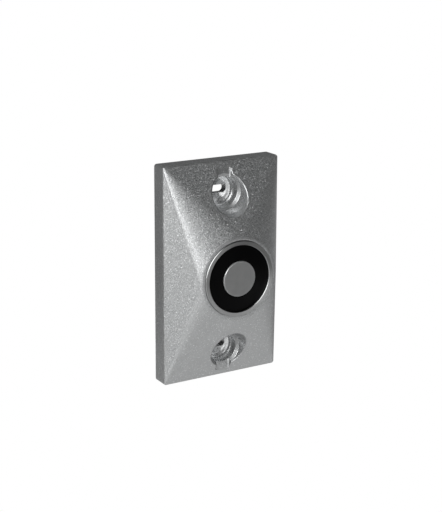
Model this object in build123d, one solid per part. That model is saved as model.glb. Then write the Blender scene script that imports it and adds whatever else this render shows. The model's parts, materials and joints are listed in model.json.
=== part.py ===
# Wall-mounted electromagnetic door holder: a die-cast face cover over a round pot magnet.
#
# Every piece is drawn flat on its back, X to the right, Y up the wall and Z out of the wall, and is
# then stood up: the finished part has +Z up, faces -Y, and its origin is the middle of the plate on
# the wall's surface. Lengths are in millimetres.

import os
from math import cos, hypot, radians, tan

from build123d import *

# The plate and the boss of the casting
plate_width = 67.2
plate_height = 114.5
edge_thickness = 9.15
land_radius = 22.0
land_height = 26.95
edge_round = 1.0
shoulder_round = 5.0
shoulder_crease = 3.0
corner_radius = 1.4
bore_chamfer = 0.4
wall = 2.6
hollow_corner = 0.6

# The screw pockets
pocket_spacing = 83.34
pocket_floor = 3.5
slot_length = 10.8
slot_width = 4.2
seat_radius = 7.5
seat_height = 4.9
step_height = 11.3
flare_radius = 9.15
flare_height = 12.7
pocket_draft = 10.0
pocket_wall = 2.2
mouth_round = 0.35
seat_draft = 0.5

# The relief notch above the upper pocket and below the lower one
notch_floor = 10.7
notch_half_width = 4.0
notch_draft = 12.0
notch_fillet = 1.2

# Fits between pieces
slide_clearance = 0.15
press_clearance = 0.05
thread_clearance = 0.05
thread_runout = 0.5
free_clearance = 0.3

# The pot magnet
cup_radius = 19.75
cup_inner_radius = 17.5
cup_back = 9.0
cup_floor = 4.0
pole_stand = 0.7
core_radius = 9.2
spigot_radius = 5.0
pole_chamfer = 0.25

# The coil
bobbin_wall = 0.9
bobbin_flange = 0.9
tape_thickness = 0.35
winding_radius = 16.2
resin_depth = 2.0
resin_recess = 0.85

# The bar behind the magnet, and its screws
bar_end_gap = 0.7
bar_width = 15.0
bar_thickness = 3.0
bar_screw_inset = 2.6
bar_screw_radius = 1.5
bar_screw_bite = 5.0
bar_head_radius = 2.75
bar_head_height = 2.0
bar_head_slot = 0.7
bar_washer_section = 1.0
bar_washer_thickness = 0.7
bar_boss_wall = 2.0
magnet_screw_radius = 3.0
magnet_screw_bite = 10.0
magnet_head_across = 10.0
magnet_head_height = 3.6
magnet_washer_section = 1.6
magnet_washer_thickness = 1.4
washer_play = 0.12
washer_gap = 0.5

# The leads and their bush
lead_radius = 0.75
lead_gap = 2.1
lead_drop = 3.4
bush_radius = 2.5
bush_flange_radius = 3.4
bush_flange_thickness = 0.9
bush_x = 8.6
bush_y = -10.9

# The terminal board. What it carries is placed from its corner nearest the plate's side and the
# magnet: first the distance from that side edge, then the distance down from its upper edge.
board_face = 12.0
board_thickness = 1.6
board_side_gap = 2.0
board_width = 10.0
board_length = 25.6
board_upper_edge = -16.2
board_cut = 3.2
board_clip = 1.5
board_post_wall = 1.3
board_screw_radius = 1.25
board_screw_bite = 2.6
board_head_radius = 2.2
board_head_height = 1.6
board_head_slot = 0.6
upper_post_place = (2.6, 2.4)
lower_post_place = (5.0, 23.5)
block_place = (4.5, 15.8)
block_length = 10.5
block_depth = 7.2
block_height = 8.2
block_chamfer = 0.9
terminal_pitch = 3.5
cage_width = 2.5
cage_depth = 4.0
cage_height = 4.6
cage_cover = 1.2
cage_floor = 1.9
terminal_screw_radius = 0.9
terminal_screw_length = 2.2
terminal_head_radius = 1.15
terminal_head_height = 1.1
terminal_head_slot = 0.4
wire_entry = 2.0
rectifier_place = (3.4, 7.9)
rectifier_size = (4.8, 4.0, 2.5)
rectifier_lift = 0.4
pin_width = 0.8
pin_thickness = 0.3
pin_pitch = 2.5
varistor_place = (7.8, 7.2)
varistor_radius = 2.6
varistor_thickness = 2.2
varistor_lift = 1.2
varistor_pitch = 2.5
varistor_wire_radius = 0.25
red_landing_place = (6.2, 2.5)
black_landing_place = (8.2, 2.9)

# Worked out from the sizes above
half_width = plate_width / 2
half_height = plate_height / 2
rise = land_height - edge_thickness
side_slope = rise / (half_width - land_radius)
end_slope = rise / (half_height - land_radius)
pole_face = land_height + pole_stand
bore_radius = cup_radius + slide_clearance
bar_back = cup_back - bar_thickness
cup_inside = cup_back + cup_floor
resin_top = pole_face - resin_recess
bobbin_top = resin_top - resin_depth


def plane_height(slope, half_size, depth, place):
    """Height of a facet, moved in by depth square to itself, at a distance from the plate's middle."""
    return edge_thickness + slope * (half_size - place) - depth * hypot(1, slope)


def plane_reach(slope, half_size, depth, height):
    """Distance from the plate's middle at which a facet, moved in by depth, has a height."""
    return half_size + (edge_thickness - depth * hypot(1, slope) - height) / slope


def hollow_foot():
    """Height at which the hollow's straight sides end and its roof begins."""
    return plane_height(end_slope, half_height, wall, half_height - wall)


def hollow_top():
    """Height of the hollow's flat end, which lies inside the bore."""
    return plane_height(end_slope, half_height, wall, bore_radius - 1)


def hollow_side(height):
    """Distance from the plate's middle to the hollow's side at a height."""
    foot_reach = half_width - wall
    top_reach = plane_reach(side_slope, half_width, wall, hollow_top())
    along = max(0, (height - hollow_foot()) / (hollow_top() - hollow_foot()))
    return foot_reach + (top_reach - foot_reach) * along


def pyramid(depth, top_height, foot, radius):
    """The casting's form, every face moved in by depth: a rectangle that turns into a circle."""
    shoulder = plane_height(end_slope, half_height, depth, half_height - depth)
    outline = RectangleRounded(plate_width - 2 * depth, plate_height - 2 * depth, radius)
    reach_x = plane_reach(side_slope, half_width, depth, top_height)
    reach_y = plane_reach(end_slope, half_height, depth, top_height)
    land = RectangleRounded(2 * reach_x, 2 * reach_y, min(reach_x, reach_y) - 0.05)
    slab = Pos(0, 0, foot) * extrude(outline, shoulder - foot)
    return slab + loft([Pos(0, 0, shoulder) * outline, Pos(0, 0, top_height) * land], ruled=True)


def outer_form():
    """The casting's outside without any opening, all its outer edges rounded alike."""
    sharp = pyramid(edge_round, land_height - edge_round, -3 * edge_round, corner_radius - edge_round)
    swollen = offset(sharp, edge_round, kind=Kind.ARC)
    keep = Pos(0, 0, land_height / 2) * Box(2 * plate_width, 2 * plate_height, land_height)
    trim = shoulder_trim()
    return (swollen & keep) - trim - mirror(trim, Plane.YZ)


def shoulder_trim():
    """What rounds one side's long edge. The arc meets the side and the facet at a slight crease."""
    reach = shoulder_round * cos(radians(shoulder_crease))
    middle_x = half_width - reach
    middle_z = edge_thickness - reach * (hypot(1, side_slope) - side_slope)
    facet = (side_slope / hypot(1, side_slope), 1 / hypot(1, side_slope))
    foot = (middle_x + shoulder_round, middle_z)
    head = (middle_x + shoulder_round * facet[0], middle_z + shoulder_round * facet[1])
    halfway = (1 + facet[0], facet[1])
    share = shoulder_round / hypot(*halfway)
    belly = (middle_x + share * halfway[0], middle_z + share * halfway[1])
    far = 2 * shoulder_round
    outside = Polyline(
        head,
        (head[0] + far * facet[0], head[1] + far * facet[1]),
        (foot[0] + 2 * far, middle_z),
        foot,
    )
    section = make_face(ThreePointArc(foot, belly, head) + outside)
    return extrude(Plane.XZ * section, plate_height, both=True)


def pocket_cut():
    """One screw pocket at the origin, its notch towards +Y."""
    top = land_height + 2
    drafted = flare_radius + (top - flare_height) * tan(radians(pocket_draft))
    dish_start = (0.7 * slot_width / 2, pocket_floor)
    dish_rim = (seat_radius, seat_height)
    floor = Line((0, pocket_floor), dish_start)
    dish = TangentArc(dish_start, dish_rim, tangent=(1, 0))
    walls = Polyline(
        dish_rim,
        (seat_radius + seat_draft, step_height),
        (flare_radius, flare_height),
        (drafted, top),
        (0, top),
        (0, pocket_floor),
    )
    bowl = revolve(Plane.XZ * make_face(floor + dish + walls), Axis.Z)
    slot = Pos(0, 0, -1) * extrude(SlotOverall(slot_length, slot_width), seat_height + 1)
    return bowl + slot + notch_cut(top)


def notch_cut(top):
    """The flat-floored notch, which dies out where the facet comes down to its floor."""
    spread = notch_half_width + (top - notch_floor) * tan(radians(notch_draft))
    section = Polyline(
        (-notch_half_width, notch_floor),
        (notch_half_width, notch_floor),
        (spread, top),
        (-spread, top),
        close=True,
    )
    face = make_face(section)
    face = fillet(face.vertices().group_by(Axis.Y)[0], notch_fillet)
    return extrude(Plane.XZ * face, -half_height)


def post(x, y, radius, foot):
    """A round post from a height up to the casting's roof and beyond, to be trimmed to its outside."""
    return Pos(x, y, foot) * Cylinder(radius, land_height, align=(Align.CENTER, Align.CENTER, Align.MIN))


def hole(x, y, radius, foot, depth):
    """A round hole from a height outwards."""
    return Pos(x, y, foot) * Cylinder(radius, depth, align=(Align.CENTER, Align.CENTER, Align.MIN))


def rounded(solid, edges, radius):
    """Rounds the edges, by less where the full radius finds no room."""
    for share in (1, 0.6, 0.3):
        try:
            return fillet(edges, radius * share)
        except ValueError:
            continue
    return solid


def mouth_edges(solid):
    """The edges that the pockets and notches leave on the two end facets."""
    edges = []
    for edge in solid.edges():
        point = edge.position_at(0.5)
        place = abs(point.Y)
        on_facet = abs(point.Z - plane_height(end_slope, half_height, 0, place)) < 0.01
        near = hypot(point.X, place - pocket_spacing / 2) < 1.4 * flare_radius
        if on_facet and near and point.Z > notch_floor + 0.5:
            edges.append(edge)
    return edges


def make_housing():
    face = outer_form()
    pocket = Pos(0, pocket_spacing / 2, 0) * pocket_cut()
    face -= pocket
    face -= mirror(pocket, Plane.XZ)
    face = rounded(face, mouth_edges(face), mouth_round)

    hollow = pyramid(wall, hollow_top(), -1, hollow_corner)
    foot_radius = seat_radius + pocket_wall
    boss = Cone(foot_radius, foot_radius + land_height * tan(radians(pocket_draft)), land_height,
                align=(Align.CENTER, Align.CENTER, Align.MIN))
    for side in (-1, 1):
        hollow -= Pos(0, side * pocket_spacing / 2, 0) * boss
        hollow -= post(side * bar_screw_x(), 0, bar_screw_radius + bar_boss_wall, cup_back)
    for x, y in board_posts():
        hollow -= post(x, y, board_screw_radius + board_post_wall, board_face)
    hollow -= hole(0, 0, bore_radius + wall, cup_back, land_height)

    casting = face - hollow
    casting -= hole(0, 0, bore_radius, -1, land_height + 2)
    mouth = Cone(bore_radius - bore_chamfer, bore_radius + bore_chamfer, 2 * bore_chamfer)
    casting -= Pos(0, 0, land_height) * mouth
    for side in (-1, 1):
        casting -= hole(side * bar_screw_x(), 0, bar_screw_radius + thread_clearance, cup_back - 1,
                        1 + bar_screw_bite + thread_runout)
    for x, y in board_posts():
        casting -= hole(x, y, board_screw_radius + thread_clearance, board_face - 1,
                        1 + board_screw_bite + thread_runout)
    return casting


def make_cup():
    body = hole(0, 0, cup_radius, cup_back, pole_face - cup_back)
    body -= hole(0, 0, cup_inner_radius, cup_inside, pole_face)
    body -= hole(0, 0, spigot_radius + press_clearance, cup_back - 1, cup_floor + 2)
    body -= hole(bush_x, bush_y, bush_radius + press_clearance, cup_back - 1, cup_floor + 2)
    rims = body.edges().filter_by(GeomType.CIRCLE).group_by(Axis.Z)[-1]
    return chamfer(rims, pole_chamfer)


def make_core():
    body = hole(0, 0, core_radius, cup_inside, pole_face - cup_inside)
    body += hole(0, 0, spigot_radius, cup_back, cup_floor)
    body = chamfer(body.edges().filter_by(GeomType.CIRCLE).group_by(Axis.Z)[-1], pole_chamfer)
    return body - hole(0, 0, magnet_screw_radius + thread_clearance, cup_back - 1,
                       1 + magnet_screw_bite + thread_runout)


def lead_places():
    """The two leads side by side in the bush, as an offset across the line to the magnet's axis."""
    reach = hypot(bush_x, bush_y)
    across = (-bush_y / reach * lead_gap / 2, bush_x / reach * lead_gap / 2)
    return [(bush_x + across[0], bush_y + across[1]), (bush_x - across[0], bush_y - across[1])]


def make_bobbin():
    foot = cup_inside + press_clearance
    inner = core_radius + 0.1
    body = hole(0, 0, inner + bobbin_wall, foot, bobbin_top - foot)
    body += hole(0, 0, cup_inner_radius - slide_clearance, foot, bobbin_flange)
    body += hole(0, 0, cup_inner_radius - slide_clearance, bobbin_top - bobbin_flange, bobbin_flange)
    body -= hole(0, 0, inner, foot - 1, bobbin_top)
    for x, y in lead_places():
        body -= hole(x, y, lead_radius + 0.1, foot - 1, bobbin_flange + 1.5)
    return body


def coil_room():
    """Bottom and top of the space between the bobbin's flanges."""
    low = cup_inside + press_clearance + bobbin_flange
    return low + press_clearance, bobbin_top - bobbin_flange - press_clearance


def make_winding():
    low, high = coil_room()
    body = hole(0, 0, winding_radius, low, high - low)
    return body - hole(0, 0, core_radius + 0.1 + bobbin_wall + press_clearance, low - 1, high)


def make_tape():
    low, high = coil_room()
    inner = winding_radius + press_clearance
    body = hole(0, 0, inner + tape_thickness, low, high - low)
    return body - hole(0, 0, inner, low - 1, high)


def make_resin():
    body = hole(0, 0, cup_inner_radius - press_clearance, bobbin_top + press_clearance,
                resin_top - bobbin_top - press_clearance)
    return body - hole(0, 0, core_radius + press_clearance, bobbin_top - 1, resin_top)


def bar_length():
    """The bar reaches to a gap short of the hollow's sides."""
    return 2 * (hollow_side(cup_back) - bar_end_gap)


def bar_screw_x():
    """Distance of each bar screw from the magnet's axis."""
    return bar_length() / 2 - bar_screw_inset


def make_bar():
    bar = Pos(0, 0, bar_back) * extrude(SlotOverall(bar_length(), bar_width), bar_thickness - press_clearance)
    bar -= hole(0, 0, magnet_screw_radius + free_clearance, bar_back - 1, bar_thickness + 2)
    for side in (-1, 1):
        bar -= hole(side * bar_screw_x(), 0, bar_screw_radius + free_clearance, bar_back - 1,
                    bar_thickness + 2)
    return bar


def split_washer(hole_radius, section, thickness):
    """A spring washer standing on z = 0, cut through at one side."""
    ring = hole(0, 0, hole_radius + section, 0, thickness) - hole(0, 0, hole_radius, -1, thickness + 2)
    slit = Box(2 * section, washer_gap, 3 * thickness)
    gap = Pos(hole_radius + section / 2, 0, thickness / 2) * Rot(35, 0, 0) * slit
    return ring - gap


def pan_screw(radius, head_radius, head_height, length, slot):
    """A slotted pan-head screw, its head's bearing face on z = 0, its shank towards +Z."""
    head = hole(0, 0, head_radius, -head_height, head_height)
    head = fillet(head.edges().filter_by(GeomType.CIRCLE).group_by(Axis.Z)[0], head_height * 0.45)
    head -= Pos(0, 0, -head_height) * Box(3 * head_radius, slot, head_height)
    shank = Cylinder(radius, length, align=(Align.CENTER, Align.CENTER, Align.MIN))
    shank = chamfer(shank.edges().filter_by(GeomType.CIRCLE).group_by(Axis.Z)[-1], radius * 0.25)
    return head + shank


def make_magnet_screw():
    bearing = bar_back - magnet_washer_thickness - 2 * press_clearance
    length = cup_back + magnet_screw_bite - bearing
    flats = magnet_head_across / 2
    head = extrude(RegularPolygon(flats, 6, major_radius=False), magnet_head_height)
    crown = Cone(0.96 * flats, 0.96 * flats + magnet_head_height, magnet_head_height,
                 align=(Align.CENTER, Align.CENTER, Align.MIN))
    shank = Cylinder(magnet_screw_radius, length, align=(Align.CENTER, Align.CENTER, Align.MIN))
    shank = chamfer(shank.edges().filter_by(GeomType.CIRCLE).group_by(Axis.Z)[-1], 0.2 * magnet_screw_radius)
    return Pos(0, 0, bearing - magnet_head_height) * (head & crown) + Pos(0, 0, bearing) * shank


def make_magnet_washer():
    washer = split_washer(magnet_screw_radius + washer_play, magnet_washer_section, magnet_washer_thickness)
    return Pos(0, 0, bar_back - magnet_washer_thickness - press_clearance) * washer


def make_bar_washers():
    washer = split_washer(bar_screw_radius + washer_play, bar_washer_section, bar_washer_thickness)
    height = bar_back - bar_washer_thickness - press_clearance
    return [Pos(side * bar_screw_x(), 0, height) * washer for side in (-1, 1)]


def make_bar_screws():
    bearing = bar_back - bar_washer_thickness - 2 * press_clearance
    length = cup_back + bar_screw_bite - bearing
    screw = pan_screw(bar_screw_radius, bar_head_radius, bar_head_height, length, bar_head_slot)
    return [Pos(side * bar_screw_x(), 0, bearing) * screw for side in (-1, 1)]


def make_bush():
    barrel = hole(bush_x, bush_y, bush_radius, cup_back - press_clearance, cup_floor - 0.2)
    flange = hole(bush_x, bush_y, bush_flange_radius, cup_back - press_clearance - bush_flange_thickness,
                  bush_flange_thickness)
    flange = fillet(flange.edges().filter_by(GeomType.CIRCLE).group_by(Axis.Z)[0], 0.35)
    body = barrel + flange
    for x, y in lead_places():
        body -= hole(x, y, lead_radius + press_clearance, 0, land_height)
    return body


def make_lead(start, landing):
    """A lead from the winding out through the bush, round the casting's bore and up to the board."""
    coil_end = coil_room()[0] - press_clearance
    landing_height = board_back() - press_clearance
    outward = Vector(landing[0] - start[0], landing[1] - start[1], 0).normalized()
    middle = Vector((landing[0] + start[0]) / 2, (landing[1] + start[1]) / 2, cup_back - lead_drop)
    leave = Vector(start[0], start[1], cup_back - bush_flange_thickness - lead_radius)
    inside = Line((start[0], start[1], coil_end), leave)
    bend = Spline(leave, middle, Vector(landing[0], landing[1], landing_height),
                  tangents=[Vector(0, 0, -1), outward, Vector(0, 0, 1)])
    section = Plane(origin=(start[0], start[1], coil_end), z_dir=(0, 0, -1)) * Circle(lead_radius)
    return sweep(section, path=inside + bend)


def board_back():
    """Height of the board's wall-side face, which carries everything."""
    return board_face - board_thickness


def on_board(place):
    """A place on the board, from its side edge and its upper edge."""
    return hollow_side(board_face) - board_side_gap - place[0], board_upper_edge - place[1]


def board_posts():
    return [on_board(upper_post_place), on_board(lower_post_place)]


def make_board():
    right, upper = on_board((0, 0))
    left, lower = on_board((board_width, board_length))
    outline = Polyline(
        (left + board_cut, upper),
        (right, upper),
        (right, lower + board_clip),
        (right - board_clip, lower),
        (left, lower),
        (left, upper - board_cut),
        close=True,
    )
    board = Pos(0, 0, board_back()) * extrude(make_face(outline), board_thickness - press_clearance)
    for x, y in board_posts():
        board -= hole(x, y, board_screw_radius + free_clearance, 0, land_height)
    return board


def make_board_screws():
    bearing = board_back() - press_clearance
    length = board_face + board_screw_bite - bearing
    screw = pan_screw(board_screw_radius, board_head_radius, board_head_height, length, board_head_slot)
    return [Pos(x, y, bearing) * screw for x, y in board_posts()]


def terminal_places():
    """The three clamps lie one above the other; their wires come in from the plate's middle."""
    x, y = on_board(block_place)
    return [(x, y + step * terminal_pitch) for step in (-1, 0, 1)]


def cage_foot():
    """Height of a clamp's wall-side face."""
    return board_back() - cage_cover - cage_height


def wire_height():
    """Height of the middle of the wires' way in."""
    return cage_foot() + cage_floor + wire_entry / 2


def make_block():
    x, y = on_board(block_place)
    top = board_back() - press_clearance
    body = Pos(x, y, top - block_height / 2) * Box(block_depth, block_length, block_height)
    body = chamfer(body.edges().filter_by(Axis.Y).group_by(Axis.Z)[0], block_chamfer)
    fit = 2 * press_clearance
    for px, py in terminal_places():
        room = Box(cage_depth + fit, cage_width + fit, cage_height + fit)
        body -= Pos(px, py, cage_foot() + cage_height / 2) * room
        body -= Pos(px - block_depth / 2, py, wire_height()) * Box(block_depth, wire_entry, wire_entry)
        body -= hole(px, py, terminal_head_radius + fit, 0, cage_foot())
    return body


def make_clamps():
    clamps = []
    for px, py in terminal_places():
        cage = Pos(px, py, cage_foot() + cage_height / 2) * Box(cage_depth, cage_width, cage_height)
        cage -= Pos(px, py, wire_height()) * Box(2 * cage_depth, 0.8 * wire_entry, wire_entry)
        cage -= hole(px, py, terminal_screw_radius + thread_clearance, cage_foot() - 1, cage_floor + 1.5)
        clamps.append(cage)
    return clamps


def make_terminal_screws():
    screws = []
    bearing = cage_foot() - press_clearance
    for px, py in terminal_places():
        head = hole(px, py, terminal_head_radius, bearing - terminal_head_height, terminal_head_height)
        head -= Pos(px, py, bearing - terminal_head_height) * Box(
            3 * terminal_head_radius, terminal_head_slot, 0.8 * terminal_head_height)
        screws.append(head + hole(px, py, terminal_screw_radius, bearing, terminal_screw_length))
    return screws


def make_rectifier():
    x, y = on_board(rectifier_place)
    length, depth, height = rectifier_size
    body = Pos(x, y, board_back() - rectifier_lift - height / 2) * Box(length, depth, height)
    return chamfer(body.edges().group_by(Axis.Z)[0], 0.2 * height)


def make_rectifier_pins():
    x, y = on_board(rectifier_place)
    length, depth, height = rectifier_size
    top = board_back() - press_clearance
    shoulder = board_back() - rectifier_lift - height / 2
    reach = 2 * pin_thickness
    pins = []
    for side_x in (-1, 1):
        for side_y in (-1, 1):
            px = x + side_x * pin_pitch / 2
            edge = y + side_y * depth / 2
            tab = Pos(px, edge + side_y * reach / 2, shoulder) * Box(pin_width, reach, pin_thickness)
            leg = Pos(px, edge + side_y * (reach - pin_thickness / 2), (top + shoulder) / 2) * Box(
                pin_width, pin_thickness, top - shoulder)
            pins.append(leg + tab)
    return pins


def varistor_height():
    """Height of the disc's middle."""
    return board_back() - varistor_radius - varistor_lift


def make_varistor():
    x, y = on_board(varistor_place)
    disc = Pos(x, y, varistor_height()) * Rot(0, 90, 0) * Cylinder(varistor_radius, varistor_thickness)
    return fillet(disc.edges().filter_by(GeomType.CIRCLE), varistor_thickness * 0.35)


def make_varistor_leads():
    x, y = on_board(varistor_place)
    disc = make_varistor()
    wires = []
    for side in (-1, 1):
        length = board_back() - press_clearance - varistor_height()
        wire = hole(x, y + side * varistor_pitch / 2, varistor_wire_radius, varistor_height(), length)
        wires.append(wire - disc)
    return wires


def stand(pieces):
    """Turns a drawn piece, or a list of like pieces, upright and out from the wall."""
    upright = Plane(origin=(0, 0, 0), x_dir=(1, 0, 0), z_dir=(0, -1, 0)).location
    if not isinstance(pieces, list):
        pieces = [pieces]
    solids = []
    for piece in pieces:
        solids += [solid.moved(upright) for solid in piece.solids()]
    if len(solids) == 1:
        return solids[0]
    return Compound(children=solids)


def main():
    red_start, black_start = lead_places()
    nodes = {
        "face_housing": make_housing(),
        "magnet_cup": make_cup(),
        "magnet_core": make_core(),
        "coil_bobbin": make_bobbin(),
        "coil_winding": make_winding(),
        "coil_tape": make_tape(),
        "magnet_potting": make_resin(),
        "magnet_bridge": make_bar(),
        "magnet_screw": make_magnet_screw(),
        "magnet_lock_washer": make_magnet_washer(),
        "bridge_lock_washers": make_bar_washers(),
        "bridge_screws": make_bar_screws(),
        "lead_bush": make_bush(),
        "coil_lead_red": make_lead(red_start, on_board(red_landing_place)),
        "coil_lead_black": make_lead(black_start, on_board(black_landing_place)),
        "terminal_board": make_board(),
        "board_screws": make_board_screws(),
        "terminal_block": make_block(),
        "terminal_clamps": make_clamps(),
        "terminal_screws": make_terminal_screws(),
        "rectifier_body": make_rectifier(),
        "rectifier_pins": make_rectifier_pins(),
        "varistor_disc": make_varistor(),
        "varistor_leads": make_varistor_leads(),
    }
    os.makedirs("parts", exist_ok=True)
    for name, piece in nodes.items():
        export_step(stand(piece), f"parts/{name}.step")


main()
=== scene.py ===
# Looks of the wall-mounted electromagnetic door holder: paint, metals, resin, wiring and the studio.
# Lengths are in metres. The holder faces -Y, +Z is up the wall, and the wall is the plane Y = 0.

import json
from math import cos, pi, radians, sin

import bpy
from mathutils import Matrix, Vector


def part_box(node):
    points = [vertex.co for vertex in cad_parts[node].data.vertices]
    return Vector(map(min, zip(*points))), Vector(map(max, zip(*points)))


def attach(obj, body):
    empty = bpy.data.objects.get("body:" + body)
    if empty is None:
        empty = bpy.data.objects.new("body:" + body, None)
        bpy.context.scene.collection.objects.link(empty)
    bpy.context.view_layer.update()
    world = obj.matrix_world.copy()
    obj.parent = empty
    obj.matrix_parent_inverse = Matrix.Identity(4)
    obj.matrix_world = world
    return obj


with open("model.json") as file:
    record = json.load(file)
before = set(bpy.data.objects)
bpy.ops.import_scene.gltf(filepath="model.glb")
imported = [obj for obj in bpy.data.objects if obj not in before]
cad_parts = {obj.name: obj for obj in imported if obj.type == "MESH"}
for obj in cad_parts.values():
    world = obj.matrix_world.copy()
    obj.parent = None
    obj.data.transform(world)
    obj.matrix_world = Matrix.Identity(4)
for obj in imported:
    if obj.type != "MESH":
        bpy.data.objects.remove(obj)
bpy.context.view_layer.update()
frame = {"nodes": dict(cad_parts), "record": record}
mm = 0.001


# Sizes read from the frame
housing_low, housing_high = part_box("face_housing")
board_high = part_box("terminal_board")[1]
half_width = housing_high.x
half_height = housing_high.z
land_height = -housing_low.y
cup_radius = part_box("magnet_cup")[1].x
core_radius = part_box("magnet_core")[1].x


# Sizes that the materials have to know
edge_thickness = 9.15 * mm
land_radius = 22.0 * mm
pocket_height = 41.67 * mm
pocket_mouth_radius = 9.0 * mm
mouth_growth = 0.12
seat_radius = 7.5 * mm
seat_height = 4.9 * mm
ledge_height = 11.3 * mm
flare_height = 12.7 * mm
notch_half_width = 4.0 * mm
notch_floor = 10.7 * mm
notch_spread = 0.213
edge_wall = 1.3 * mm
wire_pitch = 0.32 * mm

# Where the shading rounds off what the solids keep sharp. Pairs run from no effect to the full one.
# In a pocket, distances are from the slot's middle, but the mouth band's are from the mouth's edge.
# Heights are above the wall.
seat_slope = (6.2 * mm, 4.9 * mm)
seat_rim = (6.6 * mm, 7.2 * mm)
foot_start = (5.6 * mm, 6.3 * mm)
foot_end = (8.6 * mm, 7.2 * mm)
foot_reach = 8.1 * mm
mouth_band = (0.6 * mm, 0.25 * mm)
ledge_reach = 8.6 * mm
notch_start = pocket_height + 6.5 * mm
notch_reach = 9.3 * mm
notch_reach_across = notch_half_width + 1.6 * mm
notch_end = (notch_floor + 0.2 * mm, notch_floor + 0.9 * mm)

# The bevel round the core's face is dull, but for a short stretch that faces glint_side
core_bevel = core_radius - 0.1 * mm
glint_side = (-0.848, 0.0, 0.53)
glint_narrowness = 0.985

# The part of a surface's normal that counts as facing straight forward, or straight sideways
squarely_forward = -0.97
squarely_sideways = 0.9


# Node helpers
def add(tree, kind, values=None, **settings):
    """Adds a node. A value is set on its input, and an output socket is linked to it."""
    made = tree.nodes.new(kind)
    for name, value in settings.items():
        setattr(made, name, value)
    for name, value in (values or {}).items():
        if isinstance(value, bpy.types.NodeSocket):
            tree.links.new(value, made.inputs[name])
        else:
            made.inputs[name].default_value = value
    return made


def maths(tree, operation, first, second=0.0, third=0.0):
    """One number worked out from up to three others."""
    values = {0: first, 1: second, 2: third}
    return add(tree, "ShaderNodeMath", values, operation=operation).outputs[0]


def times(tree, first, *others):
    """The product of several numbers or masks."""
    made = first
    for other in others:
        made = maths(tree, "MULTIPLY", made, other)
    return made


def less(tree, first, second):
    """The first number less the second."""
    return maths(tree, "SUBTRACT", first, second)


def under(tree, value, limit):
    """A mask: one where the number is below the limit."""
    return maths(tree, "LESS_THAN", value, limit)


def over(tree, value, limit):
    """A mask: one where the number is above the limit."""
    return maths(tree, "GREATER_THAN", value, limit)


def near(tree, value, middle, within):
    """A mask: one where the number is close to the middle one."""
    return maths(tree, "COMPARE", value, middle, within)


def stretch(tree, value, low, high, to_low=0.0, to_high=1.0):
    """A number moved from one range to another, and held inside it."""
    values = {"Value": value, "From Min": low, "From Max": high, "To Min": to_low, "To Max": to_high}
    return add(tree, "ShaderNodeMapRange", values).outputs[0]


def vector(tree, operation, first, second=None, **values):
    """A direction worked out from one or two others."""
    values[0] = first
    if second is not None:
        values[1] = second
    return add(tree, "ShaderNodeVectorMath", values, operation=operation).outputs[0]


def measure(tree, operation, first, second=(0.0, 0.0, 0.0)):
    """A number worked out from one or two directions."""
    return add(tree, "ShaderNodeVectorMath", {0: first, 1: second}, operation=operation).outputs[1]


def join(tree, x=0.0, y=0.0, z=0.0):
    """A direction made of its three parts."""
    return add(tree, "ShaderNodeCombineXYZ", {0: x, 1: y, 2: z}).outputs[0]


def split(tree, place):
    """The three parts of a place or direction."""
    return add(tree, "ShaderNodeSeparateXYZ", {0: place}).outputs


def blend(tree, factor, low, high):
    """A colour between two colours."""
    made = add(tree, "ShaderNodeMix", data_type="RGBA")
    for place, value in ((0, factor), (6, low), (7, high)):
        if isinstance(value, bpy.types.NodeSocket):
            tree.links.new(value, made.inputs[place])
        elif place == 0:
            made.inputs[place].default_value = value
        else:
            made.inputs[place].default_value = (*value, 1.0)
    return made.outputs[2]


number = "NodeSocketFloat"
direction = "NodeSocketVector"


def new_group(name, inputs, outputs):
    """A shader node group with named number inputs, and outputs of the kinds given."""
    group = bpy.data.node_groups.new(name, "ShaderNodeTree")
    for label, value in inputs.items():
        socket = group.interface.new_socket(label, in_out="INPUT", socket_type=number)
        socket.default_value = value
    for label, kind in outputs.items():
        group.interface.new_socket(label, in_out="OUTPUT", socket_type=kind)
    return group, group.nodes.new("NodeGroupInput").outputs, group.nodes.new("NodeGroupOutput").inputs


def give(group, out, **values):
    """Links each value to the group's output of that name."""
    for name, value in values.items():
        group.links.new(value, out[name])
    return group


def use(tree, group, **values):
    """Places a group in a material, with its own values."""
    made = tree.nodes.new("ShaderNodeGroup")
    made.node_tree = group
    for name, value in values.items():
        made.inputs[name].default_value = value
    return made.outputs


def object_place(tree):
    """Where a point of a piece lies, in the frame that all pieces share."""
    return add(tree, "ShaderNodeTexCoord").outputs["Object"]


def true_normal(tree):
    """The three parts of the surface's own normal."""
    return split(tree, add(tree, "ShaderNodeNewGeometry").outputs["True Normal"])


def noise(tree, place, scale, detail):
    """Soft noise between zero and one."""
    return add(tree, "ShaderNodeTexNoise", {"Vector": place, "Scale": scale, "Detail": detail}).outputs[0]


# The casting's form, as the effects have to know it
def casting_place(tree):
    """Distances from the holder's middle, sideways and upwards, and the height above the wall."""
    axes = split(tree, object_place(tree))
    across = maths(tree, "ABSOLUTE", axes[0])
    up = maths(tree, "ABSOLUTE", axes[2])
    return across, up, times(tree, axes[1], -1.0)


def facet(tree, along, half_length):
    """The height of a sloping face, at a distance from the middle towards its foot."""
    fall = (land_height - edge_thickness) / (half_length - land_radius)
    return maths(tree, "MULTIPLY_ADD", along, -fall, edge_thickness + fall * half_length)


def mouth_radius(tree, height):
    """How wide a pocket's mouth is at a height."""
    above = maths(tree, "MAXIMUM", less(tree, height, edge_thickness), 0.0)
    return maths(tree, "MULTIPLY_ADD", above, mouth_growth, pocket_mouth_radius)


# Effects that several materials share
def grain_group():
    """Soft mottling and a fine tooth, each with its own scale."""
    scales = {"Coarse": 300.0, "Fine": 3000.0}
    group, into, out = new_group("grain", scales, {"Mottle": number, "Tooth": number})
    place = object_place(group)
    mottle = noise(group, place, into["Coarse"], 3.0)
    return give(group, out, Mottle=mottle, Tooth=noise(group, place, into["Fine"], 2.0))


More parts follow.
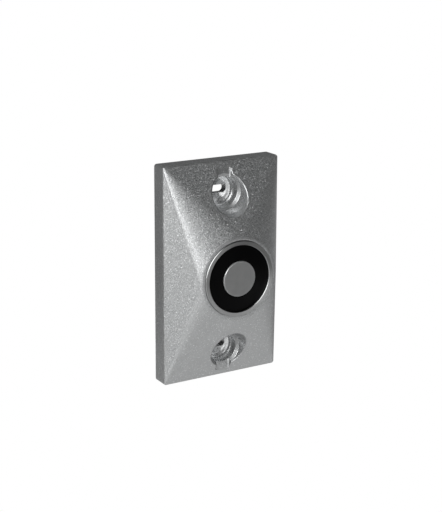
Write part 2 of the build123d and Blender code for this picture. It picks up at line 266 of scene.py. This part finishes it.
def flake_group():
    """Metal flakes in a coat: each has a tone, a rare glint mask, and a tip of its own away from the surface.
    The paint gives the glinting flakes a near-white colour: a painted glint.
    """
    sizes = {"Size": 0.4 * mm, "Tip": 0.1, "Stray": 0.5}
    group, into, out = new_group("flakes", sizes, {"Tone": number, "Glint": number, "Tip": direction})
    values = {"Vector": object_place(group), "Scale": maths(group, "DIVIDE", 1.0, into["Size"])}
    lean = add(group, "ShaderNodeTexVoronoi", values).outputs["Color"]
    chance = add(group, "ShaderNodeTexWhiteNoise", {"Vector": lean}).outputs["Color"]
    fate = add(group, "ShaderNodeSeparateColor", {0: chance}).outputs
    loose = stretch(group, fate[0], 0.5, 1.0)
    amount = maths(group, "MULTIPLY_ADD", times(group, loose, loose), into["Stray"], into["Tip"])
    tip = vector(group, "SCALE", vector(group, "SUBTRACT", lean, (0.5, 0.5, 0.5)), Scale=amount)
    return give(group, out, Tone=fate[1], Glint=stretch(group, fate[2], 0.95, 0.99), Tip=tip)


def turning_group():
    """Fine tool rings round the magnet's axis, and a film that wanders over them."""
    group, into, out = new_group("turning", {"Pitch": 0.12 * mm}, {"Ring": number, "Wander": number})
    place = object_place(group)
    axes = split(group, place)
    turns = maths(group, "DIVIDE", measure(group, "LENGTH", join(group, axes[0], z=axes[2])), into["Pitch"])
    values = {"W": turns, "Scale": 1.0, "Detail": 2.0}
    ring = add(group, "ShaderNodeTexNoise", values, noise_dimensions="1D").outputs[0]
    return give(group, out, Ring=ring, Wander=noise(group, place, 260.0, 4.0))


def crown_group():
    """The flat ring round the magnet's axis: how far it leans outwards, and where the core's edge is dull."""
    group, into, out = new_group("crown", {"Ring": 0.0, "Land": 0.0}, {"Lean": direction, "Dull": number})
    axes = split(group, object_place(group))
    flat = join(group, axes[0], z=axes[2])
    reach = measure(group, "LENGTH", flat)
    outwards = vector(group, "NORMALIZE", flat)
    ring = times(group, over(group, reach, core_radius + 1 * mm), into["Ring"])
    land = times(group, stretch(group, reach, cup_radius, land_radius), into["Land"])
    level = under(group, true_normal(group)[1], squarely_forward)
    inside = under(group, reach, land_radius + 0.5 * mm)
    amount = times(group, maths(group, "ADD", ring, land), inside, level)
    bevel = near(group, reach, core_bevel, 0.4 * mm)
    away = under(group, measure(group, "DOT_PRODUCT", outwards, glint_side), glint_narrowness)
    lean = vector(group, "SCALE", outwards, Scale=amount)
    return give(group, out, Lean=lean, Dull=times(group, bevel, away))


def pocket_group():
    """The screw pockets' relief: sunk seat, soft foot of the wall, rounded mouth, notch's floor and edges."""
    sizes = {"Seat": 0.66, "Rim": 0.14, "Wall": 0.8, "Mouth": 1.0, "Floor": 0.5, "Edge": 0.9}
    masks = {"Lean": direction, "Ledge": number, "Flank": number}
    group, into, out = new_group("pocket_relief", sizes, masks)
    axes = split(group, object_place(group))
    across, up, height = casting_place(group)
    end = maths(group, "SIGN", axes[2])
    flat = join(group, axes[0], z=times(group, less(group, up, pocket_height), end))
    reach = measure(group, "LENGTH", flat)

    sink = times(group, stretch(group, reach, *seat_slope), into["Seat"])
    rim = times(group, stretch(group, reach, *seat_rim), into["Rim"])
    low = under(group, height, seat_height + 0.15 * mm)
    seat = times(group, maths(group, "ADD", sink, rim), low, under(group, reach, seat_radius + 0.1 * mm))
    from_mouth = maths(group, "ABSOLUTE", less(group, reach, mouth_radius(group, height)))
    mouth = times(group, over(group, height, flare_height), stretch(group, from_mouth, *mouth_band))
    inward = maths(group, "MULTIPLY_ADD", mouth, into["Mouth"], seat)
    inwards = vector(group, "SCALE", vector(group, "NORMALIZE", flat), Scale=times(group, inward, -1.0))

    foot = times(group, stretch(group, height, *foot_start), stretch(group, height, *foot_end))
    forward = times(group, foot, under(group, reach, foot_reach), into["Wall"], -1.0)

    past = times(group, over(group, up, notch_start), over(group, reach, notch_reach))
    beside = times(group, past, under(group, across, notch_reach_across))
    normal = true_normal(group)
    rise = times(group, under(group, normal[1], squarely_forward), into["Floor"], beside, end)
    roof = facet(group, up, half_height)
    side = maths(group, "MULTIPLY_ADD", roof, notch_spread, notch_half_width - notch_spread * notch_floor)
    lip = times(group, near(group, across, side, 0.35 * mm), near(group, height, roof, 0.5 * mm), past)
    hand = maths(group, "SIGN", axes[0])
    sideways = times(group, lip, stretch(group, roof, *notch_end), into["Edge"], hand, -1.0)
    lean = vector(group, "ADD", inwards, join(group, sideways, forward, rise))

    # The ledge ring, which the paint darkens and roughens to dim the highlight it catches: painted shade.
    ledge_shade = times(group, near(group, height, 0.5 * (ledge_height + flare_height), 0.6 * mm),
                  near(group, reach, ledge_reach, 0.7 * mm))
    # The notch's steep side walls, which the paint darkens: painted shade.
    steep = over(group, maths(group, "ABSOLUTE", normal[0]), squarely_sideways)
    return give(group, out, Lean=lean, Ledge=ledge_shade, Flank=times(group, beside, steep))


def zones_group():
    """Where the casting is bare, behind and on the wall side, and where it has the pockets' smooth skin."""
    sizes = {"Wall": 2.3 * mm, "Lip": 0.06 * mm}
    group, into, out = new_group("casting_zones", sizes, {"Bare": number, "Pocket": number})
    across, up, height = casting_place(group)
    slopes = maths(group, "MINIMUM", facet(group, across, half_width), facet(group, up, half_height))
    depth = less(group, maths(group, "MINIMUM", slopes, land_height), height)
    reach = measure(group, "LENGTH", join(group, across, z=less(group, up, pocket_height)))
    in_pocket = under(group, reach, mouth_radius(group, height))

    deep = times(group, over(group, depth, into["Wall"]), over(group, true_normal(group)[1], -0.05))
    inside = times(group, under(group, across, half_width - edge_wall),
                   under(group, up, half_height - edge_wall))
    hidden = times(group, deep, inside, less(group, 1.0, in_pocket))
    bare = maths(group, "MAXIMUM", hidden, under(group, height, 0.1 * mm))
    skin = times(group, in_pocket, over(group, depth, into["Lip"]), less(group, 1.0, bare))
    return give(group, out, Bare=bare, Pocket=skin)


grain = grain_group()
flakes = flake_group()
turning = turning_group()
crown = crown_group()
relief = pocket_group()
zones = zones_group()


# Materials
def material(name):
    """A material with one shader, and its nodes."""
    made = bpy.data.materials.new(name)
    made.use_nodes = True
    tree = made.node_tree
    tree.nodes.clear()
    shader = tree.nodes.new("ShaderNodeBsdfPrincipled")
    surface = tree.nodes.new("ShaderNodeOutputMaterial")
    tree.links.new(shader.outputs[0], surface.inputs[0])
    return made, tree, shader


def set_surface(tree, shader, colour, roughness, metallic=0.0, gloss=0.5):
    """Feeds the shader its colour and roughness, which vary, and sets what is even."""
    tree.links.new(colour, shader.inputs["Base Color"])
    tree.links.new(roughness, shader.inputs["Roughness"])
    shader.inputs["Metallic"].default_value = metallic
    shader.inputs["Specular IOR Level"].default_value = gloss


def mottled(tree, grains, low, high):
    """A number that wanders between two values with the mottling."""
    return stretch(tree, grains["Mottle"], 0.3, 0.7, low, high)


def leaning_normal(tree, *leans):
    """The surface's normal, leaned over by the directions given."""
    made = add(tree, "ShaderNodeNewGeometry").outputs["Normal"]
    for lean in leans:
        made = vector(tree, "ADD", made, lean)
    return vector(tree, "NORMALIZE", made)


def bump(tree, shader, height, depth, strength=1.0, normal=None):
    """Gives the shader a relief of the given depth."""
    values = {"Height": height, "Distance": depth, "Strength": strength}
    if normal is not None:
        values["Normal"] = normal
    made = add(tree, "ShaderNodeBump", values)
    tree.links.new(made.outputs[0], shader.inputs["Normal"])


def silver_paint():
    """The casting: silver flake paint in front, a smooth skin in the pockets, bare zinc alloy behind."""
    made, tree, shader = material("silver_flake_paint")
    grains = use(tree, grain, Coarse=900.0, Fine=2600.0)
    flake = use(tree, flakes, Size=0.25 * mm, Tip=0.14, Stray=0.72)
    where = use(tree, zones)
    pocket = use(tree, relief)
    # Faces turned up get a stronger flake speckle in their colour, which is a painted sparkle, and a larger
    # flake tip.
    upward_sparkle = stretch(tree, true_normal(tree)[2], -0.45, 0.45, 0.35, 1.65)

    varied = maths(tree, "MULTIPLY_ADD", less(tree, flake["Tone"], 0.5), upward_sparkle, 0.5)
    tone = blend(tree, varied, (0.40, 0.408, 0.412), (0.58, 0.59, 0.592))
    # A few flakes get a near-white colour: a painted glint.
    paint = blend(tree, flake["Glint"], tone, (0.95, 0.96, 0.97))
    smooth = blend(tree, grains["Mottle"], (0.58, 0.588, 0.592), (0.63, 0.64, 0.645))
    # The ledge ring is painted darker to dim its highlight: painted shade.
    skin = blend(tree, pocket["Ledge"], smooth, (0.40, 0.407, 0.41))
    # The notch's steep side walls are painted dark: painted shade.
    front = blend(tree, pocket["Flank"], blend(tree, where["Pocket"], paint, skin), (0.24, 0.243, 0.245))
    casting = blend(tree, grains["Mottle"], (0.30, 0.305, 0.315), (0.44, 0.445, 0.455))
    rough = mottled(tree, grains, 0.36, 0.44)
    for mask, change in ((where["Bare"], 0.12), (where["Pocket"], -0.12), (pocket["Ledge"], 0.22)):
        rough = maths(tree, "MULTIPLY_ADD", mask, change, rough)
    set_surface(tree, shader, blend(tree, where["Bare"], front, casting), rough, metallic=0.8)

    painted = less(tree, 1.0, maths(tree, "MAXIMUM", where["Bare"], where["Pocket"]))
    tip = vector(tree, "SCALE", flake["Tip"], Scale=times(tree, painted, upward_sparkle))
    normal = leaning_normal(tree, tip, use(tree, crown, Land=0.45)["Lean"], pocket["Lean"])
    height = maths(tree, "MULTIPLY_ADD", where["Bare"], grains["Mottle"], grains["Tooth"])
    quiet = times(tree, height, stretch(tree, where["Pocket"], 0.0, 1.0, 1.0, 0.15))
    bump(tree, shader, quiet, 0.02 * mm, 0.7, normal)
    return made


def turned_steel():
    """The pole faces: grey steel, smoothly ground, with a faint film."""
    made, tree, shader = material("turned_steel")
    rings = use(tree, turning, Pitch=0.16 * mm)
    grains = use(tree, grain, Coarse=420.0, Fine=5200.0)
    shape = use(tree, crown, Ring=0.2)
    film = stretch(tree, rings["Wander"], 0.3, 0.75)
    colour = blend(tree, film, (0.46, 0.465, 0.465), (0.42, 0.425, 0.425))
    rough = maths(tree, "MULTIPLY_ADD", shape["Dull"], 0.4, mottled(tree, grains, 0.275, 0.295))
    set_surface(tree, shader, colour, rough, metallic=1.0)
    height = maths(tree, "MULTIPLY_ADD", grains["Tooth"], 0.4, rings["Ring"])
    bump(tree, shader, height, 0.003 * mm, 0.4, leaning_normal(tree, shape["Lean"]))
    return made


def black_resin():
    """Poured resin between the poles: nearly black, a soft gloss, faint dust specks."""
    made, tree, shader = material("black_resin")
    grains = use(tree, grain, Coarse=260.0, Fine=2200.0)
    specks = stretch(tree, grains["Tooth"], 0.70, 0.78)
    colour = blend(tree, specks, (0.0012, 0.0012, 0.0013), (0.012, 0.012, 0.012))
    set_surface(tree, shader, colour, mottled(tree, grains, 0.3, 0.4), gloss=0.06)
    lean = use(tree, crown, Ring=0.2)["Lean"]
    bump(tree, shader, grains["Mottle"], 0.03 * mm, 0.3, leaning_normal(tree, lean))
    return made


def plated_steel(name, low, high, rough_low, rough_high):
    """Plated or tinned metal with a mottled film."""
    made, tree, shader = material(name)
    grains = use(tree, grain, Coarse=650.0, Fine=6000.0)
    colour = blend(tree, grains["Mottle"], low, high)
    set_surface(tree, shader, colour, mottled(tree, grains, rough_low, rough_high), metallic=1.0)
    bump(tree, shader, grains["Tooth"], 0.01 * mm, 0.4)
    return made


def moulded(name, low, high, rough_low, rough_high):
    """A moulded, dipped, lacquered or rubber surface with a fine tooth."""
    made, tree, shader = material(name)
    grains = use(tree, grain, Coarse=500.0, Fine=4200.0)
    colour = blend(tree, grains["Mottle"], low, high)
    set_surface(tree, shader, colour, mottled(tree, grains, rough_low, rough_high))
    bump(tree, shader, grains["Tooth"], 0.012 * mm, 0.5)
    return made


def wound_copper():
    """Enamelled wire, wound in even turns along the coil. Each turn is painted lighter on its crest and
    darker in the groove beside it: painted highlight and shade.
    """
    made, tree, shader = material("wound_copper")
    along = split(tree, object_place(tree))[1]
    turns = maths(tree, "SINE", times(tree, along, 2 * pi / wire_pitch))
    crest_relief_and_shade = stretch(tree, turns, -1.0, 1.0)
    # Lighter on each crest and darker in each groove: painted highlight and painted shade.
    colour = blend(tree, crest_relief_and_shade, (0.30, 0.10, 0.045), (0.62, 0.25, 0.12))
    set_surface(tree, shader, colour, stretch(tree, turns, -1.0, 1.0, 0.42, 0.26), metallic=0.85)
    bump(tree, shader, crest_relief_and_shade, 0.08 * mm)
    return made


finishes = {
    "painted_casting": silver_paint(),
    "pole_steel": turned_steel(),
    "black_resin": black_resin(),
    "zinc_plate": plated_steel("zinc_plate", (0.56, 0.57, 0.56), (0.72, 0.72, 0.70), 0.36, 0.40),
    "tinned_wire": plated_steel("tinned_wire", (0.62, 0.62, 0.61), (0.76, 0.76, 0.75), 0.22, 0.34),
    "brass_clamp": plated_steel("brass_clamp", (0.60, 0.44, 0.18), (0.74, 0.58, 0.28), 0.26, 0.38),
    "copper_wire": wound_copper(),
    "natural_nylon": moulded("natural_nylon", (0.70, 0.67, 0.58), (0.78, 0.75, 0.66), 0.42, 0.52),
    "coil_tape": moulded("coil_tape", (0.62, 0.44, 0.05), (0.72, 0.54, 0.09), 0.24, 0.34),
    "red_insulation": moulded("red_insulation", (0.46, 0.018, 0.014), (0.55, 0.028, 0.02), 0.34, 0.44),
    "black_insulation": moulded("black_insulation", (0.012, 0.012, 0.013), (0.022, 0.022, 0.023), 0.34, 0.44),
    "black_bush": moulded("black_bush", (0.016, 0.016, 0.016), (0.03, 0.03, 0.03), 0.55, 0.68),
    "board_laminate": moulded("board_laminate", (0.012, 0.12, 0.045), (0.022, 0.16, 0.065), 0.28, 0.38),
    "block_moulding": moulded("block_moulding", (0.03, 0.22, 0.085), (0.045, 0.27, 0.11), 0.38, 0.48),
    "black_package": moulded("black_package", (0.014, 0.014, 0.015), (0.024, 0.024, 0.025), 0.48, 0.6),
    "varistor_coat": moulded("varistor_coat", (0.014, 0.06, 0.26), (0.022, 0.09, 0.33), 0.2, 0.3),
}
for part in frame["record"]["subparts"]:
    node = frame["nodes"][part["node"]]
    for place in node.material_slots:
        place.material = finishes[part["material_slot"]]


# What the terminal board carries besides its parts. Places are in millimetres from the board's corner
# nearest the plate's side and the magnet, first from that side edge, then down from the upper edge.
lead_landings = [(6.2, 2.5), (8.2, 2.9)]
varistor_feet = [(7.8, 5.95), (7.8, 8.45)]
rectifier_feet = [(2.15, 5.35), (4.65, 5.35), (2.15, 10.4), (4.65, 10.4)]
track_routes = [
    [(6.2, 2.5), (6.2, 4.6), (5.35, 5.35), (4.65, 5.35)],
    [(7.8, 5.95), (6.6, 4.75), (6.2, 4.35)],
    [(8.2, 2.9), (9.2, 3.9), (9.2, 7.3), (8.05, 8.45), (7.8, 8.45), (6.9, 7.55), (2.9, 7.55), (2.15, 6.8),
     (2.15, 5.35)],
]

# Each solder joint's radius at the foot and its height in millimetres, in the order of the places above
lead_joints = [(1.2, 0.5), (1.15, 0.55)]
wire_joints = [(0.68, 0.5), (0.72, 0.45), (0.7, 0.3), (0.74, 0.34), (0.7, 0.32), (0.72, 0.3)]


def on_board(place, height=0.0):
    """A place on the board, at a height along Y."""
    return board_high.x - place[0] * mm, height, board_high.z - place[1] * mm


def new_tree(name, sizes):
    """A Geometry Nodes tree with named number inputs."""
    tree = bpy.data.node_groups.new(name, "GeometryNodeTree")
    tree.interface.new_socket("Geometry", in_out="INPUT", socket_type="NodeSocketGeometry")
    tree.interface.new_socket("Geometry", in_out="OUTPUT", socket_type="NodeSocketGeometry")
    for label, value in sizes.items():
        socket = tree.interface.new_socket(label, in_out="INPUT", socket_type=number)
        socket.default_value = value
    return tree, tree.nodes.new("NodeGroupInput").outputs, tree.nodes.new("NodeGroupOutput").inputs


def finish_tree(tree, geometry, coating, out):
    """The shapes as one plain, smooth mesh in the given material."""
    real = add(tree, "GeometryNodeRealizeInstances", {0: geometry}).outputs[0]
    smooth = add(tree, "GeometryNodeSetShadeSmooth", {0: real}).outputs[0]
    coated = add(tree, "GeometryNodeSetMaterial", {"Geometry": smooth, "Material": coating})
    tree.links.new(coated.outputs[0], out[0])
    return tree


def grown(name, mesh, tree, sizes):
    """Runs a tree on a mesh, keeps the plain result and lets it ride on the holder."""
    source = bpy.data.objects.new(name + "_source", mesh)
    bpy.context.scene.collection.objects.link(source)
    modifier = source.modifiers.new("grow", "NODES")
    modifier.node_group = tree
    sockets = {item.name: item.identifier for item in tree.interface.items_tree if item.in_out == "INPUT"}
    for label, value in sizes.items():
        modifier[sockets[label]] = value
    graph = bpy.context.evaluated_depsgraph_get()
    plain = bpy.data.meshes.new_from_object(source.evaluated_get(graph), depsgraph=graph)
    source.modifiers.remove(modifier)
    bpy.data.objects.remove(source)
    plain.name = name
    made = bpy.data.objects.new(name, plain)
    bpy.context.scene.collection.objects.link(made)
    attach(made, "root")


def solder_tree():
    """A hollow-sided cone of solder on each point, as wide and as high as the point's size says."""
    tree, into, out = new_tree("solder_joints", {"Neck": 0.45})
    ends = {"Radius Top": into["Neck"], "Radius Bottom": 1.0}
    values = {"Vertices": 20, "Side Segments": 6, "Depth": 1.0, **ends}
    cone = add(tree, "GeometryNodeMeshCone", values).outputs[0]
    axes = split(tree, add(tree, "GeometryNodeInputPosition").outputs[0])
    left = less(tree, 1.0, axes[2])
    spread = less(tree, 1.0, into["Neck"])
    straight = maths(tree, "MULTIPLY_ADD", spread, left, into["Neck"])
    hollow = maths(tree, "MULTIPLY_ADD", spread, times(tree, left, left), into["Neck"])
    share = maths(tree, "DIVIDE", hollow, straight)
    place = join(tree, times(tree, axes[0], share), times(tree, axes[1], share), axes[2])
    shaped = add(tree, "GeometryNodeSetPosition", {"Geometry": cone, "Position": place}).outputs[0]
    size = add(tree, "GeometryNodeInputNamedAttribute", {"Name": "size"}, data_type="FLOAT_VECTOR").outputs[0]
    upright = (radians(-90), 0.0, 0.0)
    values = {"Points": into["Geometry"], "Instance": shaped, "Rotation": upright, "Scale": size}
    many = add(tree, "GeometryNodeInstanceOnPoints", values).outputs[0]
    return finish_tree(tree, many, finishes["tinned_wire"], out)


def track_tree():
    """A flat strip with rounded sides along each line, on the board's face."""
    tree, into, out = new_tree("board_tracks", {"Width": 0.8 * mm, "Flatness": 0.15, "Face": 0.0})
    line = add(tree, "GeometryNodeMeshToCurve", {"Mesh": into["Geometry"]}).outputs[0]
    half = times(tree, into["Width"], 0.5)
    ring = add(tree, "GeometryNodeCurvePrimitiveCircle", {"Resolution": 12, "Radius": half}).outputs[0]
    values = {"Curve": line, "Profile Curve": ring, "Fill Caps": True}
    tube = add(tree, "GeometryNodeCurveToMesh", values).outputs[0]
    scale = join(tree, 1.0, into["Flatness"], 1.0)
    values = {"Geometry": tube, "Scale": scale, "Translation": join(tree, y=into["Face"])}
    flat = add(tree, "GeometryNodeTransform", values).outputs[0]
    lacquered = moulded("lacquered_track", (0.035, 0.21, 0.08), (0.055, 0.27, 0.11), 0.22, 0.32)
    return finish_tree(tree, flat, lacquered, out)


def points_mesh(name, places, sizes):
    """Loose points on the board's face, each with a size."""
    mesh = bpy.data.meshes.new(name)
    mesh.from_pydata([on_board(place, board_high.y) for place in places], [], [])
    sizing = mesh.attributes.new("size", "FLOAT_VECTOR", "POINT")
    for point, (foot, height) in zip(sizing.data, sizes):
        point.vector = (foot * mm, foot * mm, height * mm)
    return mesh


def lines_mesh(name, routes):
    """Lines of edges through the places of each route, in the plane of the wall."""
    vertices = []
    edges = []
    for route in routes:
        first = len(vertices)
        vertices += [on_board(place) for place in route]
        edges += [(first + step, first + step + 1) for step in range(len(route) - 1)]
    mesh = bpy.data.meshes.new(name)
    mesh.from_pydata(vertices, edges, [])
    return mesh


joints = solder_tree()
lead_points = points_mesh("lead_points", lead_landings, lead_joints)
grown("lead_solder", lead_points, joints, {"Neck": 0.66})
wire_points = points_mesh("wire_points", varistor_feet + rectifier_feet, wire_joints)
grown("wire_solder", wire_points, joints, {"Neck": 0.42})
track_lines = lines_mesh("track_lines", track_routes)
grown("board_tracks", track_lines, track_tree(), {"Face": board_high.y})


# The camera, at the photograph's angle
camera_azimuth = radians(30.96)
camera_elevation = radians(15.96)
camera_roll = radians(0.43)
camera_distance = 640.3 * mm
camera_lens = 86.20
nearest_seen = 0.01
farthest_seen = 100.0
aim = Vector((5.4 * mm, 0, 4.4 * mm))


def place_camera():
    """Sets the camera up, aims it and rolls it a little."""
    forward = Vector((
        sin(camera_azimuth) * cos(camera_elevation),
        cos(camera_azimuth) * cos(camera_elevation),
        -sin(camera_elevation),
    ))
    level = Vector((cos(camera_azimuth), -sin(camera_azimuth), 0))
    upright = level.cross(forward)
    right = cos(camera_roll) * level + sin(camera_roll) * upright
    up = cos(camera_roll) * upright - sin(camera_roll) * level
    data = bpy.data.cameras.new("camera")
    data.lens = camera_lens
    data.clip_start = nearest_seen
    data.clip_end = farthest_seen
    made = bpy.data.objects.new("camera", data)
    bpy.context.scene.collection.objects.link(made)
    turn = Matrix((right, up, -forward)).transposed().to_4x4()
    made.matrix_world = Matrix.Translation(aim - camera_distance * forward) @ turn
    bpy.context.scene.camera = made


# The studio
white = (1, 1, 1, 1)
floor_drop = 1.2
floor_size = 60.0
floor_glow = 0.035
room_light = 0.0
lamps = {
    # name: (azimuth from the front towards the holder's left, elevation, distance, width, power)
    "key_left": (50, 32, 1.1, 1.05, 8.0),
    "side_high": (75, 20, 1.1, 0.9, 5.5),
    "side_left": (85, -5, 1.1, 0.9, 0.5),
    "front_low": (30, -15, 1.1, 0.9, 2.55),
    "front": (0, 10, 1.1, 0.9, 0.6),
    "fill": (14, 24, 1.1, 0.22, 0.28),
    "front_high": (0, 75, 1.1, 0.9, 0.02),
    "front_right": (-30, -15, 1.1, 0.9, 0.62),
    "rim_right": (-55, -24, 1.1, 0.3, 0.2),
    "low_left": (75, -35, 1.1, 0.9, 1.25),
    "low_front": (0, -45, 1.1, 0.9, 0.64),
    "low_right": (-60, -55, 1.1, 0.9, 0.9),
    "low_side": (-90, -30, 1.1, 0.9, 0.69),
    "side_right": (-100, 5, 1.1, 0.9, 0.85),
    "behind_right": (-149, 35, 1.1, 0.9, 0.39),
    "behind_low": (149, -45, 0.26, 0.18, 0.025),
    "behind": (-158, -18, 1.1, 0.4, 3.2),
}


def lay_floor():
    """A wide sheet of white paper, far below the holder. The camera sees it as plain white."""
    paper = bpy.data.materials.new("studio_paper")
    paper.use_nodes = True
    tree = paper.node_tree
    tree.nodes.clear()
    grains = use(tree, grain, Coarse=3.0, Fine=40.0)
    pale = blend(tree, grains["Mottle"], (0.86, 0.86, 0.86), (0.88, 0.88, 0.88))
    matt = add(tree, "ShaderNodeBsdfDiffuse", {"Color": pale}).outputs[0]
    glow = add(tree, "ShaderNodeEmission", {"Color": white, "Strength": floor_glow}).outputs[0]
    lit = add(tree, "ShaderNodeAddShader", {0: matt, 1: glow}).outputs[0]
    plain = add(tree, "ShaderNodeEmission", {"Color": white, "Strength": 1.0}).outputs[0]
    seen = add(tree, "ShaderNodeLightPath").outputs["Is Camera Ray"]
    either = add(tree, "ShaderNodeMixShader", {0: seen, 1: lit, 2: plain}).outputs[0]
    add(tree, "ShaderNodeOutputMaterial", {0: either})

    half = floor_size / 2
    low = housing_low.z - floor_drop
    corners = [(-half, -half, low), (half, -half, low), (half, half, low), (-half, half, low)]
    mesh = bpy.data.meshes.new("floor")
    mesh.from_pydata(corners, [], [(0, 1, 2, 3)])
    mesh.materials.append(paper)
    floor = bpy.data.objects.new("floor", mesh)
    bpy.context.scene.collection.objects.link(floor)


def make_room():
    """The room round it all: plain white to the camera, and giving no light of its own."""
    world = bpy.data.worlds.new("room")
    world.use_nodes = True
    room = world.node_tree
    seen = add(room, "ShaderNodeLightPath").outputs["Is Camera Ray"]
    strength = stretch(room, seen, 0.0, 1.0, room_light, 1.0)
    background = room.nodes["Background"]
    background.inputs["Color"].default_value = white
    room.links.new(strength, background.inputs["Strength"])
    bpy.context.scene.world = world


def hang_lamps():
    """Square soft lamps, each turned towards the holder and hidden from the camera."""
    for name, (azimuth, elevation, distance, width, power) in lamps.items():
        turn = radians(azimuth)
        rise = radians(elevation)
        place = distance * Vector((-sin(turn) * cos(rise), -cos(turn) * cos(rise), sin(rise)))
        data = bpy.data.lights.new(name, "AREA")
        data.shape = "SQUARE"
        data.size = width
        data.energy = power
        lamp = bpy.data.objects.new(name, data)
        lamp.location = place
        lamp.rotation_mode = "QUATERNION"
        lamp.rotation_quaternion = (-place).to_track_quat("-Z", "Y")
        lamp.visible_camera = False
        bpy.context.scene.collection.objects.link(lamp)


place_camera()
lay_floor()
make_room()
hang_lamps()
bpy.context.scene.view_settings.view_transform = "Standard"
